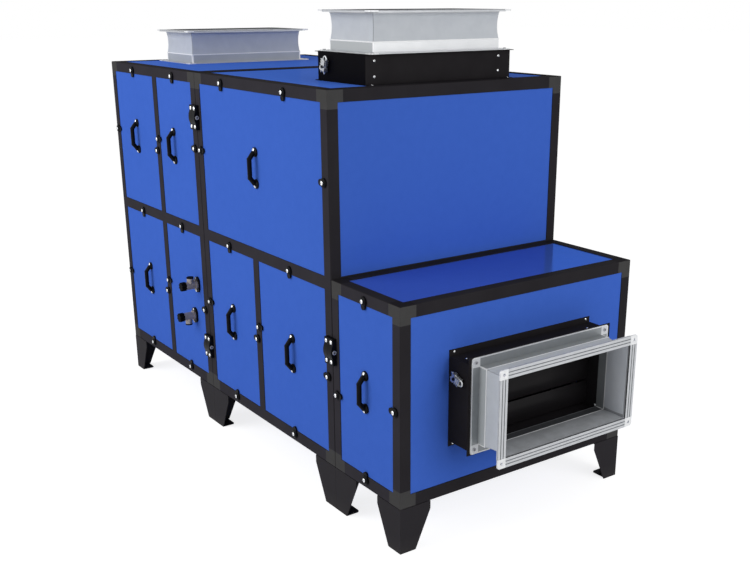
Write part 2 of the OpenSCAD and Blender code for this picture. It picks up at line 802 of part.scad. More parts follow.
module connector_flanges() { color(galvanised) place() at_connectors() flanges(); }
module flange_corners() { color(galvanised) place() at_connectors() corner_plates(); }
module connector_collars() { color(galvanised) place() at_connectors() collar(); }
module connector_sleeves() { color(fabric_grey) place() at_connectors() sleeve(); }

rear_section_frame();
mid_section_frame();
low_section_frame();
corner_blocks();
mid_rails();
mullions();
upper_panel_rear();
upper_panel_centre();
upper_panel_mid();
lower_panel_rear();
coil_panel();
lower_panel_mid_left();
lower_panel_mid_right();
lower_panel_end();
step_panel();
end_panel();
rear_end_panels();
back_panels();
rear_top_panel();
mid_top_panel();
low_top_panel();
floor_panels();
legs();
panel_handles();
panel_latches();
section_clamps();
coil_flanges();
coil_pipe_ends();
coil_caps();
end_damper_casing();
end_damper_blade_upper();
end_damper_blade_centre();
end_damper_blade_lower();
end_damper_clamp();
top_damper_casing();
top_damper_blade_rear();
top_damper_blade_centre();
top_damper_blade_front();
top_damper_clamp();
connector_flanges();
flange_corners();
connector_collars();
connector_sleeves();
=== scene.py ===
import math

import bmesh
import bpy
import numpy as np
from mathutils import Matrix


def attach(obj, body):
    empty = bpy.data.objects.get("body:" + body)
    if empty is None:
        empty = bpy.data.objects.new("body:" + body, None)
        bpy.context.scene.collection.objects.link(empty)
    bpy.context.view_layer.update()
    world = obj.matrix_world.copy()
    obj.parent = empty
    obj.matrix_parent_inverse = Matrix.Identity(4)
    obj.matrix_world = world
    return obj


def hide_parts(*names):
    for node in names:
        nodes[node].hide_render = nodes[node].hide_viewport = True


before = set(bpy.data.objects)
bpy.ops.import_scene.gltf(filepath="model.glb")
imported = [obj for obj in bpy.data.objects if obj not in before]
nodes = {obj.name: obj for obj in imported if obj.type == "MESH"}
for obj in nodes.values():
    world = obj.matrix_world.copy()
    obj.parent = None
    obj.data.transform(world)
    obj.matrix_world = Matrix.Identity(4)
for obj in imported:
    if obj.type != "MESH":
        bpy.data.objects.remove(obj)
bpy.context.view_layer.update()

# Section frames: three boxes of extruded aluminium profile in a dark bronze-black powder
# coat of fine grain, painted a little lighter on the service side as painted light. The
# bars plug onto corner mouldings, and mid rails and mullions of the same profile are
# screwed between the posts.


class Wire:
    """A socket of a node tree. + - * < > and abs() on it add Math nodes, and node() adds any
    other node."""

    def __init__(self, tree, socket=None):
        self.tree, self.socket = tree, socket

    def node(self, kind, settings=(), sockets=(), out=0):
        """A node of that kind: its settings come first, then values or wires for its sockets."""
        n = self.tree.nodes.new(kind)
        for key, value in dict(settings).items():
            setattr(n, key, value)
        for key, value in dict(sockets).items():
            if isinstance(value, Wire):
                value.feeds(n.inputs[key])
            else:
                n.inputs[key].default_value = value
        return Wire(self.tree, n.outputs[out] if n.outputs else None)

    def math(self, operation, a, b=0.0):
        return self.node("ShaderNodeMath", {"operation": operation}, {0: a, 1: b})

    def __add__(self, other):
        return self.math("ADD", self, other)

    def __sub__(self, other):
        return self.math("SUBTRACT", self, other)

    def __mul__(self, other):
        return self.math("MULTIPLY", self, other)

    def __radd__(self, other):
        return self.math("ADD", other, self)

    def __rsub__(self, other):
        return self.math("SUBTRACT", other, self)

    def __rmul__(self, other):
        return self.math("MULTIPLY", other, self)

    def __lt__(self, other):
        return self.math("LESS_THAN", self, other)

    def __gt__(self, other):
        return self.math("GREATER_THAN", self, other)

    def __abs__(self):
        return self.math("ABSOLUTE", self)

    def feeds(self, socket):
        self.tree.links.new(self.socket, socket)


def rgb(red, green, blue):
    """Linear colour of 0 to 255 screen values."""
    s = np.array([red, green, blue]) / 255
    lin = np.where(s <= 0.04045, s / 12.92, ((s + 0.055) / 1.055) ** 2.4)
    return (*lin.tolist(), 1.0)


def new_finish(name, **sockets):
    """A Principled material with its plain sockets set: the material, its shader's sockets
    and a wire to draw from."""
    m = bpy.data.materials.new(name)
    m.use_nodes = True
    shader = m.node_tree.nodes["Principled BSDF"].inputs
    for key, value in sockets.items():
        shader[key.replace("_", " ")].default_value = value
    return m, shader, Wire(m.node_tree)


def tinted(mask, dark, light):
    """The colour between dark and light by the mask."""
    return mask.node("ShaderNodeMix", {"data_type": "RGBA"}, {0: mask, 6: dark, 7: light}, out=2)


def own_place(wire, axes="XYZ"):
    """The named coordinates of a point on the piece, in metres in the part's frame."""
    place = wire.node("ShaderNodeTexCoord", out="Object")
    return [wire.node("ShaderNodeSeparateXYZ", (), {0: place}, out=axis) for axis in axes]


def grain(wire, scale, detail=2.0, rough=0.5):
    """Noise over the piece's own coordinates, about 0.5 on average."""
    place = wire.node("ShaderNodeTexCoord", out="Object")
    settings = {"Vector": place, "Scale": scale, "Detail": detail, "Roughness": rough}
    return wire.node("ShaderNodeTexNoise", (), settings)


def raised(height, distance, strength):
    """A bump from that height, at most that distance in metres."""
    settings = {"Strength": strength, "Distance": distance, "Height": height}
    return height.node("ShaderNodeBump", (), settings)


def dress(finish, *names):
    for name in names:
        nodes[name].data.materials.clear()
        nodes[name].data.materials.append(finish)


behind_service_face = -0.4340
profile_coat, s, w = new_finish("profile_coat", Specular_IOR_Level=0.0, Coat_Roughness=0.35)
(at_y,) = own_place(w, "Y")
cloud = grain(w, 9.0, 3.0)
fine = grain(w, 1400.0)
coat = tinted(cloud, rgb(38, 36, 39), rgb(47, 45, 48))
# painted light: the faces on the service side get a lighter copy of the coat
service_side_lit = tinted(cloud, rgb(47, 45, 50), rgb(56, 54, 59))
tinted(at_y < behind_service_face, coat, service_side_lit).feeds(s["Base Color"])
(0.44 + fine * 0.14).feeds(s["Roughness"])
(0.02 + fine * 0.03).feeds(s["Coat Weight"])
raised(fine, 0.00004, 0.6).feeds(s["Normal"])
dress(
    profile_coat,
    "rear_section_frame", "mid_section_frame", "low_section_frame", "mid_rails", "mullions",
)

# Corner mouldings: three-way corners of glass-filled nylon, a little lighter than the
# profiles and dull, with the speckle of the filler; their top faces are painted near black
# as painted shade. The profiles are knocked onto them.
tall_top_z, low_top_z, top_z_play = 1.3535, 0.7860, 0.0015
corner_nylon, s, w = new_finish("corner_nylon", Specular_IOR_Level=0.0, Coat_Roughness=0.4)
(at_z,) = own_place(w, "Z")
speckle = grain(w, 700.0, 3.0, 0.7)
cloud = grain(w, 22.0)
# painted shade: the top faces of both sections' corners are painted near black
painted_top_shade = w.math("MAXIMUM", at_z > tall_top_z, abs(at_z - low_top_z) < top_z_play)
moulded = tinted(speckle * 0.7 + cloud * 0.3, rgb(57, 57, 57), rgb(78, 77, 77))
tinted(painted_top_shade, moulded, rgb(36, 34, 36)).feeds(s["Base Color"])
(0.52 + speckle * 0.16).feeds(s["Roughness"])
(0.02 + speckle * 0.04).feeds(s["Coat Weight"])
raised(speckle, 0.00006, 0.6).feeds(s["Normal"])
dress(corner_nylon, "corner_blocks")

# Panels: foam-filled panels in blue pre-painted steel sheet, a little wavy, with a fine
# orange-peel film that has metal flake and more gloss on the low roof. The roof and the
# low roof get their own copies of the blue as painted light for how light falls on the
# tops. Their inner skins are bare zinc, and they sit in the frame against a gasket.


def panel_finish(name, dark, light, gloss, flake=0.0, rough=0.40):
    """Blue film paint between two shades with a clear coat of that weight and that share of
    metal flake, and bare zinc where the sheet faces into the casing."""
    inside_x, inside_y, inside_z = (-1.1430, 0.9260), (-0.4315, 0.5025), (0.1530, 0.7830)
    tall_end, tall_rise = 0.5607, 0.5690
    blue_gleam = (0.22, 0.42, 0.95, 1)
    paint, s, w = new_finish(
        name, Specular_IOR_Level=0.0, Specular_Tint=blue_gleam, Metallic=flake, Coat_Roughness=0.12)
    at_x, at_y, at_z = own_place(w)
    ceiling = inside_z[1] + (at_x < tall_end) * tall_rise
    within = (at_x > inside_x[0]) * (at_x < inside_x[1])
    within = within * (at_y > inside_y[0]) * (at_y < inside_y[1])
    within = within * (at_z > inside_z[0]) * (at_z < ceiling)
    wave = grain(w, 3.0, 1.0)
    peel = grain(w, 420.0, 1.0)
    film = grain(w, 34.0, 3.0)
    blue = tinted(film * 0.35 + peel * 0.45 + wave * 0.2, rgb(*dark), rgb(*light))
    tinted(within, blue, rgb(120, 123, 126)).feeds(s["Base Color"])
    (rough + film * 0.12).feeds(s["Roughness"])
    (gloss * (0.8 + film * 0.4)).feeds(s["Coat Weight"])
    raised(wave * 0.94 + peel * 0.06, 0.0006, 0.3).feeds(s["Normal"])
    return paint


side_paint = panel_finish("side_paint", (58, 96, 190), (70, 110, 207), gloss=0.012)
dress(
    side_paint,
    "upper_panel_rear", "upper_panel_centre", "upper_panel_mid",
    "lower_panel_rear", "coil_panel",
    "lower_panel_mid_left", "lower_panel_mid_right", "lower_panel_end",
    "step_panel", "end_panel", "rear_end_panels", "back_panels", "floor_panels",
)
# painted light: a lighter copy of the same blue paint for the roof, lit from above
roof_paint_painted_light = panel_finish("roof_paint_painted_light", (69, 113, 217), (82, 129, 236), gloss=0.02)
dress(roof_paint_painted_light, "rear_top_panel", "mid_top_panel")
# painted light: the low roof's own copy of the same blue, toned for its shade and reflections
shelf_paint_painted_light = panel_finish(
    "shelf_paint_painted_light", (70, 104, 194), (80, 116, 212), gloss=0.05, flake=0.35, rough=0.06)
dress(shelf_paint_painted_light, "low_top_panel")

# Legs: folded 3 mm steel sheet in a fine-textured black powder coat, one under each
# corner of a section, bolted up through the corner mouldings. Feet are dusty at the floor.


def fade(wire, start, end, first):
    """A value that falls from first to 0 while the wire runs from start to end."""
    settings = {0: wire, 1: start, 2: end, 3: first, 4: 0.0}
    return wire.node("ShaderNodeMapRange", {"clamp": True}, settings)


dusty_height = 0.05
leg_coat, s, w = new_finish("leg_coat", Specular_IOR_Level=0.02)
(at_z,) = own_place(w, "Z")
texture = grain(w, 900.0, 3.0)
scuff = grain(w, 60.0, 4.0)
dust_and_floor_shade = fade(at_z, 0.0, dusty_height, 0.25) * scuff
tinted(dust_and_floor_shade + texture * 0.15, rgb(42, 40, 44), rgb(84, 82, 80)).feeds(s["Base Color"])
(0.46 + texture * 0.18).feeds(s["Roughness"])
raised(texture, 0.00012, 0.6).feeds(s["Normal"])
dress(leg_coat, "legs")

# Handles: bow handles of glossy black nylon, screwed to the panel through both domed
# feet with bright zinc-plated cross-recess screws that lean with the dome.
black_nylon, s, w = new_finish("black_nylon", Specular_IOR_Level=0.03, Coat_Roughness=0.1)
pebble = grain(w, 520.0, 2.0)
rubbed = grain(w, 45.0, 3.0)
tinted(rubbed, rgb(12, 12, 14), rgb(24, 24, 27)).feeds(s["Base Color"])
(0.24 + pebble * 0.14).feeds(s["Roughness"])
(rubbed * 0.05).feeds(s["Coat Weight"])
raised(pebble, 0.00005, 0.5).feeds(s["Normal"])
dress(black_nylon, "panel_handles")


def own_map(wire, name):
    """Both values of the piece's own map of that name."""
    pair = wire.node("ShaderNodeUVMap", {"uv_map": name})
    return [wire.node("ShaderNodeSeparateXYZ", (), {0: pair}, out=axis) for axis in "XY"]


# painted shade: the dark in each screw's cross recess is painted into the head's colour
bright_zinc, s, w = new_finish("bright_zinc")
recess_shade, _ = own_map(w, "recess_shade")
brush = grain(w, 1600.0, 2.0)
haze = grain(w, 160.0, 3.0)
plate = tinted(haze, rgb(205, 207, 210), rgb(242, 243, 244))
tinted(recess_shade * 0.9, plate, rgb(34, 34, 36)).feeds(s["Base Color"])
(0.86 + haze * 0.12 - recess_shade * 0.7).feeds(s["Metallic"])
(0.16 + brush * 0.14 + recess_shade * 0.4).feeds(s["Roughness"])
raised(brush, 0.00002, 0.4).feeds(s["Normal"])


def spots(*mm):
    """Places in the part's frame, in metres, from places in mm counted from the rear
    service corner."""
    middle = [1146.0, 434.5, 0.0]
    return (np.array(mm, float).reshape(-1, 3) - middle) / 1000


def lay_grid(name, points, finish, maps, around=True):
    """One mesh from stacks of point grids (copy, row, column, xyz): each cell is a quad, and
    with around the last column joins the first. maps holds a UV pair for each point, by map
    name."""
    weld, sliver, sharp = 1e-6, 1e-7, math.radians(40)
    copies, rows, columns = points.shape[:3]
    index = np.arange(copies * rows * columns).reshape(copies, rows, columns)
    after = np.roll(index, -1, axis=2)
    cells = np.stack([index[:, :-1], after[:, :-1], after[:, 1:], index[:, 1:]], axis=-1)
    if not around:
        cells = cells[:, :, :-1]
    mesh = bpy.data.meshes.new(name)
    mesh.from_pydata(points.reshape(-1, 3).tolist(), [], cells.reshape(-1, 4).tolist())
    corner = np.zeros(len(mesh.loops), np.int32)
    mesh.loops.foreach_get("vertex_index", corner)
    for key, pairs in maps.items():
        layer = mesh.uv_layers.new(name=key)
        layer.data.foreach_set("uv", pairs.reshape(-1, 2)[corner].astype(np.float32).ravel())
    welded = bmesh.new()
    welded.from_mesh(mesh)
    bmesh.ops.remove_doubles(welded, verts=welded.verts, dist=weld)
    bmesh.ops.dissolve_degenerate(welded, edges=welded.edges, dist=sliver)
    bmesh.ops.recalc_face_normals(welded, faces=welded.faces)
    welded.to_mesh(mesh)
    welded.free()
    mesh.shade_smooth()
    mesh.set_sharp_from_angle(angle=sharp)
    mesh.materials.append(finish)
    piece = bpy.data.objects.new(name, mesh)
    bpy.context.collection.objects.link(piece)
    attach(piece, "unit")
    return piece


def domed(radius, sink, rim, rise):
    """Profile of a screw head in mm, as rows of radius, height and shade: a wall from the sunk
    base to the rim, then a cap of height rim + rise * (1 - (r / R)^2)."""
    r = radius * np.concatenate([[1.0, 1.0], np.linspace(0.96, 0.0, 9)])
    h = rim + rise * (1 - (r / radius) ** 2)
    h[0] = -sink
    return np.stack([r, h, np.zeros_like(r)], 1)


def turned_heads(name, seats, axis, profile, cross=0.0, finish=bright_zinc):
    """Fasteners turned from one profile: the point (radius, height) swings round the axis as
    r * (cos a * side + sin a * up) + h * axis. A cross recess of that depth sinks as a bell
    curve over the distance from the nearer of two arms, and fades past the arms' reach."""
    segments, arm_width, arm_reach = 32, 0.15, 0.52
    axis = np.broadcast_to(np.array(axis, float), seats.shape)
    lead = [0.0, 0.0, 1.0] if abs(axis[0, 2]) < 0.8 else [1.0, 0.0, 0.0]
    side = np.cross(axis, lead)
    side /= np.linalg.norm(side, axis=1, keepdims=True)
    up = np.cross(side, axis)
    angle = np.linspace(0, 2 * np.pi, segments, endpoint=False)
    radius = profile[0, 0]
    r = profile[:, :1] * np.ones(segments)
    arm = np.minimum(np.abs(r * np.cos(angle)), np.abs(r * np.sin(angle)))
    reach = np.exp(-((r / (arm_reach * radius)) ** 6)) * (cross > 0)
    recess = np.exp(-((arm / (arm_width * radius)) ** 2)) * reach
    h = profile[:, 1:2] - cross * recess
    swing = np.cos(angle)[:, None] * side[:, None] + np.sin(angle)[:, None] * up[:, None]
    grid = r[None, :, :, None] * swing[:, None] + h[None, :, :, None] * axis[:, None, None]
    # painted shade: the recess and the profile's shade rows darken the head through this map
    shade = np.broadcast_to(np.maximum(profile[:, 2:3], recess), grid.shape[:3])
    recess_shade_pairs = np.stack([shade, np.zeros_like(shade)], -1)
    points = seats[:, None, None] + grid / 1000
    lay_grid(name, points, finish, {"recess_shade": recess_shade_pairs})


grip_half, foot_reach, dome_y = 53.0, 8.5, -6.1
lean_out, lean_up = -0.9486, 0.3167
handles = np.array(
    [(229.0, 1069.0), (591.85, 1069.0), (1248.0, 1069.0), (253.0, 472.5),
     (1022.15, 472.5), (1453.85, 472.5), (1892.65, 472.5)]
)
handle_ends = np.repeat(handles, 2, axis=0)
outward = np.tile([-1.0, 1.0], len(handles))
screw_z = handle_ends[:, 1] + outward * (grip_half + foot_reach)
seats = spots(np.stack([handle_ends[:, 0], np.full_like(screw_z, dome_y), screw_z], 1))
lean = np.stack([np.zeros_like(outward), np.full_like(outward, lean_out), outward * lean_up], 1)
handle_screw = domed(radius=5.4, sink=0.9, rim=0.5, rise=1.6)
turned_heads("handle_screws", seats, lean, handle_screw, cross=1.0)

# Latches: swivel latches of black nylon on the frame, each turning on a bright domed
# screw, with a tongue that presses the panel onto its gasket. Along a panel's upright
# edge they stand beside it, some a step up or down.
dress(black_nylon, "panel_latches")
service_side, latch_face = (0, -1, 0), -10.0
beside, step = 13.0, 47.0
columns = [229.0, 613.85, 1022.15, 1453.85, 1892.65]
top_row, mid_row, low_row, upper_middle, lower_middle = 1330.0, 761.0, 180.0, 1081.0, 460.5
edges_up = [
    (38.0, 1, 0), (420.0, -1, -1), (458.0, 1, 0), (769.7, -1, 0), (846.3, 1, 0), (1671.7, -1, 0)]
edges_low = [
    (38.0, 1, 0), (420.0, -1, 0), (458.0, 1, 1), (769.7, -1, 0), (846.3, 1, 1), (1198.0, -1, 0),
    (1236.0, 1, 1), (1671.7, -1, 0), (1748.3, 1, -1), (2037.0, -1, 0)]
latches = [(x, top_row) for x in columns[:4]]
latches += [(x, z) for x in columns for z in (mid_row, low_row)]
latches += [(x - beside * way, upper_middle + step * steps) for x, way, steps in edges_up]
latches += [(x - beside * way, lower_middle + step * steps) for x, way, steps in edges_low]
seats = spots(*[(x, latch_face, z) for x, z in latches])
latch_screw = domed(radius=6.5, sink=0.6, rim=0.25, rise=1.9)
turned_heads("latch_screws", seats, service_side, latch_screw, cross=1.2)

# Section clamps: pairs of black moulded blocks on both sides of a seam, each held by two
# bright screws and drawn together by a socket bolt that runs along the unit.
dress(black_nylon, "section_clamps")
clamps = [(808.0, 1197.0), (808.0, 322.5), (1710.0, 556.5)]
clamp_face, block_x, block_z = -14.5, 14.0, 32.5
socket_x, socket_y = 24.0, -9.0
corners = [(a, b) for a in (-1, 1) for b in (-1, 1)]
seats = spots(
    *[(x + a * block_x, clamp_face, z + b * block_z) for x, z in clamps for a, b in corners])
clamp_screw = domed(radius=6.6, sink=0.3, rim=0.9, rise=2.5)
turned_heads("clamp_screws", seats, service_side, clamp_screw, cross=1.4)

# painted shade: the dark in each socket head's recess is painted into its colour
dull_zinc, s, w = new_finish("dull_zinc", Specular_IOR_Level=0.2)
recess_shade, _ = own_map(w, "recess_shade")
haze = grain(w, 160.0, 3.0)
plate = tinted(haze, rgb(150, 151, 157), rgb(176, 177, 182))
tinted(recess_shade, plate, rgb(30, 30, 32)).feeds(s["Base Color"])
(0.25 - recess_shade * 0.2).feeds(s["Metallic"])
(0.36 + haze * 0.14).feeds(s["Roughness"])
raised(haze, 0.00005, 0.4).feeds(s["Normal"])
seats = spots(*[(x + socket_x, socket_y, z) for x, z in clamps])
# the third column paints shade into the socket's recess
socket_head = np.array(
    [(7.0, -0.3, 0), (7.0, 2.7, 0), (6.3, 3.4, 0), (3.1, 3.4, 0),
     (2.6, 2.9, 0.6), (2.4, 0.9, 1), (0, 0.9, 1)]
)
turned_heads("clamp_bolt_heads", seats, (1, 0, 0), socket_head, finish=dull_zinc)

# Coil pipe ends: cast valve bodies, dull nickel-plated, on oval black flanges that two
# bright bolts hold, with black castellated caps that keep dirt out until pipes are joined.
dress(black_nylon, "coil_flanges")
cap_rubber, s, w = new_finish("cap_rubber", Specular_IOR_Level=0.02)
bloom = grain(w, 260.0, 3.0)
tinted(bloom, rgb(9, 9, 10), rgb(22, 22, 24)).feeds(s["Base Color"])
(0.5 + bloom * 0.2).feeds(s["Roughness"])
raised(bloom, 0.0001, 0.4).feeds(s["Normal"])
dress(cap_rubber, "coil_caps")

nickel_plate, s, w = new_finish("nickel_plate")
tarnish = grain(w, 130.0, 4.0)
cast = grain(w, 900.0, 3.0)
tinted(tarnish, rgb(128, 121, 120), rgb(172, 165, 162)).feeds(s["Base Color"])
(0.45 + tarnish * 0.2).feeds(s["Metallic"])
(0.36 + tarnish * 0.2).feeds(s["Roughness"])
raised(cast, 0.00008, 0.4).feeds(s["Normal"])
dress(nickel_plate, "coil_pipe_ends")

coils = [(720.7, 549.5), (681.7, 415.5)]
oval_face, oval_bolt = -6.0, 24.0
seats = spots(*[(x, oval_face, z + way * oval_bolt) for x, z in coils for way in (-1, 1)])
oval_bolt_head = domed(radius=4.5, sink=0.3, rim=2.4, rise=1.2)
turned_heads("coil_flange_bolts", seats, service_side, oval_bolt_head, cross=0.8)

# Dampers: flanged casings and lens-shaped blades in black-coated steel, screwed to the
# panel through the flange. The leading blade's spindle carries a bright U-bolt clamp, and
# the top casing's service-side faces are painted a deeper black as painted shade.
shaded_side_y, end_casing_x = -0.2530, 0.9
damper_coat, s, w = new_finish("damper_coat", Specular_IOR_Level=0.0, Coat_Roughness=0.3)
at_x, at_y = own_place(w, "XY")
texture = grain(w, 1100.0, 2.0)
cloud = grain(w, 14.0, 3.0)
# painted shade: the top casing's service-side faces are painted darker
shaded_drive_side = (at_y < shaded_side_y) * (at_x < end_casing_x)
coat = tinted(cloud, rgb(33, 31, 33), rgb(43, 41, 43))
tinted(shaded_drive_side, coat, rgb(15, 14, 17)).feeds(s["Base Color"])
(0.36 + texture * 0.16).feeds(s["Roughness"])
(0.02 + texture * 0.04).feeds(s["Coat Weight"])
raised(texture, 0.00005, 0.5).feeds(s["Normal"])
dress(damper_coat, "end_damper_casing", "top_damper_casing")

blade_coat, s, w = new_finish("blade_coat", Specular_IOR_Level=0.07)
texture = grain(w, 1100.0, 2.0)
cloud = grain(w, 14.0, 3.0)
tinted(cloud, rgb(17, 16, 17), rgb(26, 24, 26)).feeds(s["Base Color"])
(0.22 + texture * 0.14).feeds(s["Roughness"])
raised(texture, 0.00004, 0.4).feeds(s["Normal"])
dress(
    blade_coat,
    "end_damper_blade_upper", "end_damper_blade_centre", "end_damper_blade_lower",
    "top_damper_blade_rear", "top_damper_blade_centre", "top_damper_blade_front",
)

to_end, to_top = (1, 0, 0), (0, 0, 1)
duct_y, end_duct_z, mid_duct_x, rear_duct_x, roof_z = 470.0, 468.0, 1507.0, 203.0, 1353.0
flange_y, flange_h, end_flange_x, top_flange_z = 272.5, 147.0, 2075.0, 1355.0
rivet_x, rivet_z, rivet_offs = 2119.0, 604.0, (-262.0, 236.0)
side_x, side_offs, side_rises = 1643.0, (-256.0, 240.0), (25.0, 73.0)
seats = spots(
    *[(end_flange_x, duct_y + a * flange_y, end_duct_z + b * flange_h) for a, b in corners])
end_screw = domed(radius=4.2, sink=0.3, rim=0.8, rise=2.0)
turned_heads("end_damper_screws", seats, to_end, end_screw, cross=1.0)
seats = spots(*[(rivet_x, duct_y + off, rivet_z) for off in rivet_offs])
rivet = domed(radius=3.4, sink=0.3, rim=0.5, rise=1.4)
turned_heads("end_damper_rivets", seats, to_top, rivet)
seats = spots(*[(side_x, duct_y + off, roof_z + up) for off in side_offs for up in side_rises])
side_screw = domed(radius=4.6, sink=0.3, rim=0.8, rise=2.2)
turned_heads("top_damper_side_screws", seats, to_end, side_screw, cross=1.0)
seats = spots(
    *[(mid_duct_x + a * flange_h, duct_y + b * flange_y, top_flange_z) for a, b in corners])
top_screw = domed(radius=3.8, sink=0.3, rim=0.8, rise=1.8)
turned_heads("top_damper_screws", seats, to_top, top_screw, cross=1.0)

clamp_steel, s, w = new_finish("clamp_steel")
smear = grain(w, 300.0, 3.0)
tinted(smear, rgb(150, 153, 157), rgb(226, 228, 230)).feeds(s["Base Color"])
(0.75 + smear * 0.2).feeds(s["Metallic"])
(0.22 + smear * 0.16).feeds(s["Roughness"])
raised(smear, 0.0001, 0.4).feeds(s["Normal"])
dress(clamp_steel, "end_damper_clamp", "top_damper_clamp")

# Duct collars: strips of galvanised sheet folded round the air way, each on a plain inner
# flange. Their zinc tones are painted light: the middle top one lighter with its service
# side painted darker, the end one darker with its service side painted lighter and painted
# shade on its floor, the rear one in between, with a painted highlight along the corners.


def on_duct(wire):
    """A point's own coordinates, whether it is on the end or on the rear connector, and how
    far it lies from the middle of the air way: along Y, and square to that and to the duct."""
    middle_y, middle_x, back_to_rear, middle_z = 0.0355, 0.361, 1.304, 0.468
    end_from, rear_to = 0.9, -0.5
    at_x, at_y, at_z = own_place(wire)
    at_end, at_rear = at_x > end_from, at_x < rear_to
    off_y = abs(at_y - middle_y)
    off_x = abs(at_x - middle_x + at_rear * back_to_rear)
    off_h = at_end * abs(at_z - middle_z) + (1 - at_end) * off_x
    return (at_x, at_y, at_z), at_end, at_rear, off_y, off_h


edge_highlight_y, edge_highlight_h = 0.2508, 0.1233
mid_top_shaded_side_y, end_lit_side_y = -0.2150, -0.2140
floor_shade_from, floor_shade_to = 0.3450, 0.3465
collar_zinc, s, w = new_finish("collar_zinc")
(_, at_y, at_z), at_end, at_rear, off_y, off_h = on_duct(w)
smear = grain(w, 18.0, 3.0)
brush = grain(w, 900.0, 2.0)
# painted highlight along each collar's corner edges, wider on the rear one
edge_highlight_width = 0.0028 + at_rear * 0.0025
edge_highlight = (off_y + edge_highlight_width > edge_highlight_y) * (off_h + edge_highlight_width > edge_highlight_h)
# painted light: a lit tone for the middle top collar, painted darker on its service side
lit_mid_top_zinc = tinted(smear, rgb(214, 216, 218), rgb(232, 233, 235))
lit_mid_top_zinc = tinted(at_y < mid_top_shaded_side_y, lit_mid_top_zinc, rgb(172, 176, 179))
# painted shade: a darker tone for the end collar, painted lighter on its service side
shaded_end_zinc = tinted(smear, rgb(134, 138, 141), rgb(150, 154, 157))
shaded_end_zinc = tinted(at_y < end_lit_side_y, shaded_end_zinc, rgb(182, 187, 190))
# painted shade on the end collar's floor
end_floor_shade = at_end * (at_z > floor_shade_from) * (at_z < floor_shade_to)
shaded_end_zinc = tinted(end_floor_shade, shaded_end_zinc, rgb(74, 76, 79))
# painted light: the rear collar's own tone, between the other two
rear_zinc_painted_light = tinted(smear, rgb(160, 165, 173), rgb(174, 179, 187))
zinc = tinted(at_rear, tinted(at_end, lit_mid_top_zinc, shaded_end_zinc), rear_zinc_painted_light)
tinted(edge_highlight, zinc, rgb(236, 237, 239)).feeds(s["Base Color"])
(0.25 + smear * 0.1).feeds(s["Metallic"])
(0.40 + brush * 0.12).feeds(s["Roughness"])
raised(brush, 0.00003, 0.3).feeds(s["Normal"])
dress(collar_zinc, "connector_collars")

# Duct flanges: plain inner bars and roll-formed outer bars of galvanised steel, with
# painted shade in a groove behind the outer face and round the air way's neck. The end
# connector's inner bar is painted darker as painted shade, with a painted highlight along
# its outer rim. Pressed corner plates of brighter zinc join the bars and take the duct's
# bolts; the end connector's inner ones are painted darker inside a painted highlight on the rim.
end_face, top_face, rear_drop = 1.146, 1.572, 0.092
groove_shade_from, groove_shade_to, neck_shade_depth, inner_depth = 0.0004, 0.0018, 0.0042, 0.1000
neck_y, neck_h, rim_highlight_y, rim_highlight_h = 0.2502, 0.1227, 0.2766, 0.1491
rolled_flange, s, w = new_finish("rolled_flange")
(at_x, _, at_z), at_end, at_rear, off_y, off_h = on_duct(w)
smear = grain(w, 40.0, 4.0)
brush = grain(w, 1300.0, 2.0)
face_z = top_face - at_rear * rear_drop
depth = at_end * (end_face - at_x) + (1 - at_end) * (face_z - at_z)
# painted shade in the groove behind the outer face
groove_shade = (depth > groove_shade_from) * (depth < groove_shade_to)
inner = (depth > inner_depth) * at_end
neck = (off_y < neck_y) * (off_h < neck_h)
# painted shade round the air way's neck, near the outer face
neck_shade = neck * (depth < neck_shade_depth)
# painted highlight along the outer rim of the end connector's inner bar
rim = w.math("MAXIMUM", off_y > rim_highlight_y, off_h > rim_highlight_h)
outer_bar = tinted(smear, rgb(176, 179, 183), rgb(198, 200, 203))
outer_bar = tinted(groove_shade * (1 - neck), outer_bar, rgb(114, 117, 121))
outer_bar = tinted(neck_shade, outer_bar, rgb(40, 42, 44))
# painted shade: the end connector's inner bar is a darker copy of the zinc
shaded_inner_bar = tinted(smear, rgb(130, 134, 137), rgb(146, 150, 153))
shaded_inner_bar = tinted(rim, shaded_inner_bar, rgb(216, 218, 220))
tinted(inner, outer_bar, shaded_inner_bar).feeds(s["Base Color"])
(0.30 + smear * 0.15).feeds(s["Metallic"])
(0.34 + brush * 0.14).feeds(s["Roughness"])
raised(brush, 0.00003, 0.4).feeds(s["Normal"])
dress(rolled_flange, "connector_flanges")

inner_plates, plate_highlight_y, plate_highlight_h = 1.03, 0.2770, 0.1495
corner_zinc, s, w = new_finish("corner_zinc")
(at_x, _, _), at_end, _, off_y, off_h = on_duct(w)
smear = grain(w, 120.0, 4.0)
# painted shade on the end connector's inner plates, with a painted highlight left on the rim
inner = at_end * (at_x < inner_plates)
rim = w.math("MAXIMUM", off_y > plate_highlight_y, off_h > plate_highlight_h)
pressed = tinted(smear, rgb(212, 214, 216), rgb(238, 239, 240))
tinted(inner * (1 - rim), pressed, rgb(208, 210, 213)).feeds(s["Base Color"])
(0.20 + smear * 0.15).feeds(s["Metallic"])
(0.36 + smear * 0.16).feeds(s["Roughness"])
raised(smear, 0.0002, 0.3).feeds(s["Normal"])
dress(corner_zinc, "flange_corners")

